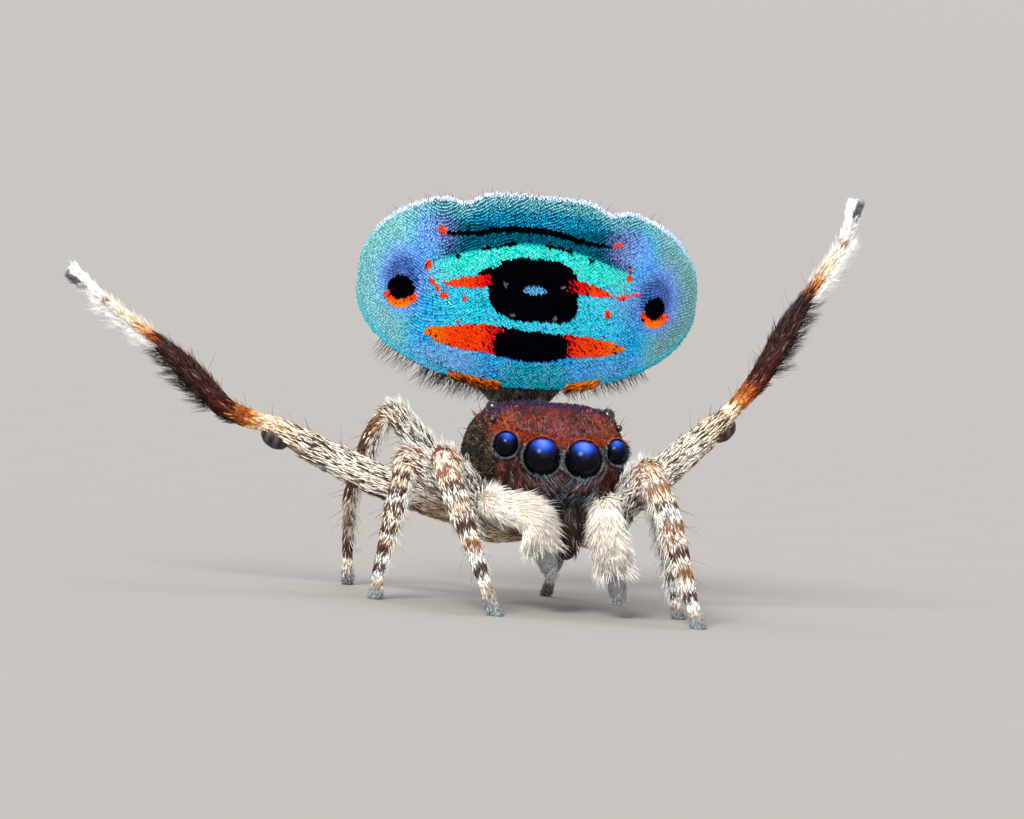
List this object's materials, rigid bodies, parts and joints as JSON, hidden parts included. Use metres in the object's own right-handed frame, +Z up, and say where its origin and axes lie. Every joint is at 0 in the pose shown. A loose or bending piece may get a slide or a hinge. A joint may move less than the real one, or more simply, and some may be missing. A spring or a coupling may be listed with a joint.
{
  "type": "peacock spider",
  "caption": "Life-size male peacock jumping spider in courtship display, with its fan raised behind the head and its third pair of legs held up and out.",
  "frame": {"origin": "on the floor under the middle of the whole model's bounding box", "axes": "+Z up, +X towards the spider's left and along the raised legs' span, the spider faces -Y"},
  "size_m": [0.0092, 0.0038, 0.0048],
  "materials": {
    "shell": "satin cuticle with short scales",
    "eyes": "polished lens",
    "fan_scales": "iridescent scales",
    "dark_hair": "short dark hair",
    "palp_hair": "long soft hair",
    "banded_hair": "short banded hair",
    "brush_hair": "stiff dark bristles",
    "white_hair": "white fringe"
  },
  "bodies": {
    "root": {"carapace": "shell", "eye_front_middle_left": "eyes", "eye_front_middle_right": "eyes", "eye_front_side_left": "eyes", "eye_front_side_right": "eyes", "eye_small_left": "eyes", "eye_small_right": "eyes", "eye_rear_left": "eyes", "eye_rear_right": "eyes", "fan_plate": "fan_scales", "fan_flap_left": "fan_scales", "fan_flap_right": "fan_scales", "abdomen": "dark_hair", "pedicel": "dark_hair", "spinnerets": "dark_hair", "sternum": "dark_hair", "mouthparts": "dark_hair", "chelicera_left": "dark_hair", "chelicera_right": "dark_hair", "palp_left_femur": "dark_hair", "palp_right_femur": "dark_hair", "palp_left": "palp_hair", "palp_right": "palp_hair", "leg_left_1_femur": "banded_hair", "leg_left_1_tibia": "banded_hair", "leg_left_1_foot": "banded_hair", "leg_left_2_femur": "banded_hair", "leg_left_2_tibia": "banded_hair", "leg_left_2_foot": "banded_hair", "leg_left_4_femur": "banded_hair", "leg_left_4_tibia": "banded_hair", "leg_left_4_foot": "banded_hair", "leg_right_1_femur": "banded_hair", "leg_right_1_tibia": "banded_hair", "leg_right_1_foot": "banded_hair", "leg_right_2_femur": "banded_hair", "leg_right_2_tibia": "banded_hair", "leg_right_2_foot": "banded_hair", "leg_right_4_femur": "banded_hair", "leg_right_4_tibia": "banded_hair", "leg_right_4_foot": "banded_hair", "leg_left_3_femur": "banded_hair", "leg_right_3_femur": "banded_hair", "leg_left_3_tibia": "brush_hair", "leg_right_3_tibia": "brush_hair", "leg_left_3_foot": "white_hair", "leg_right_3_foot": "white_hair"}
  },
  "joints": []
}
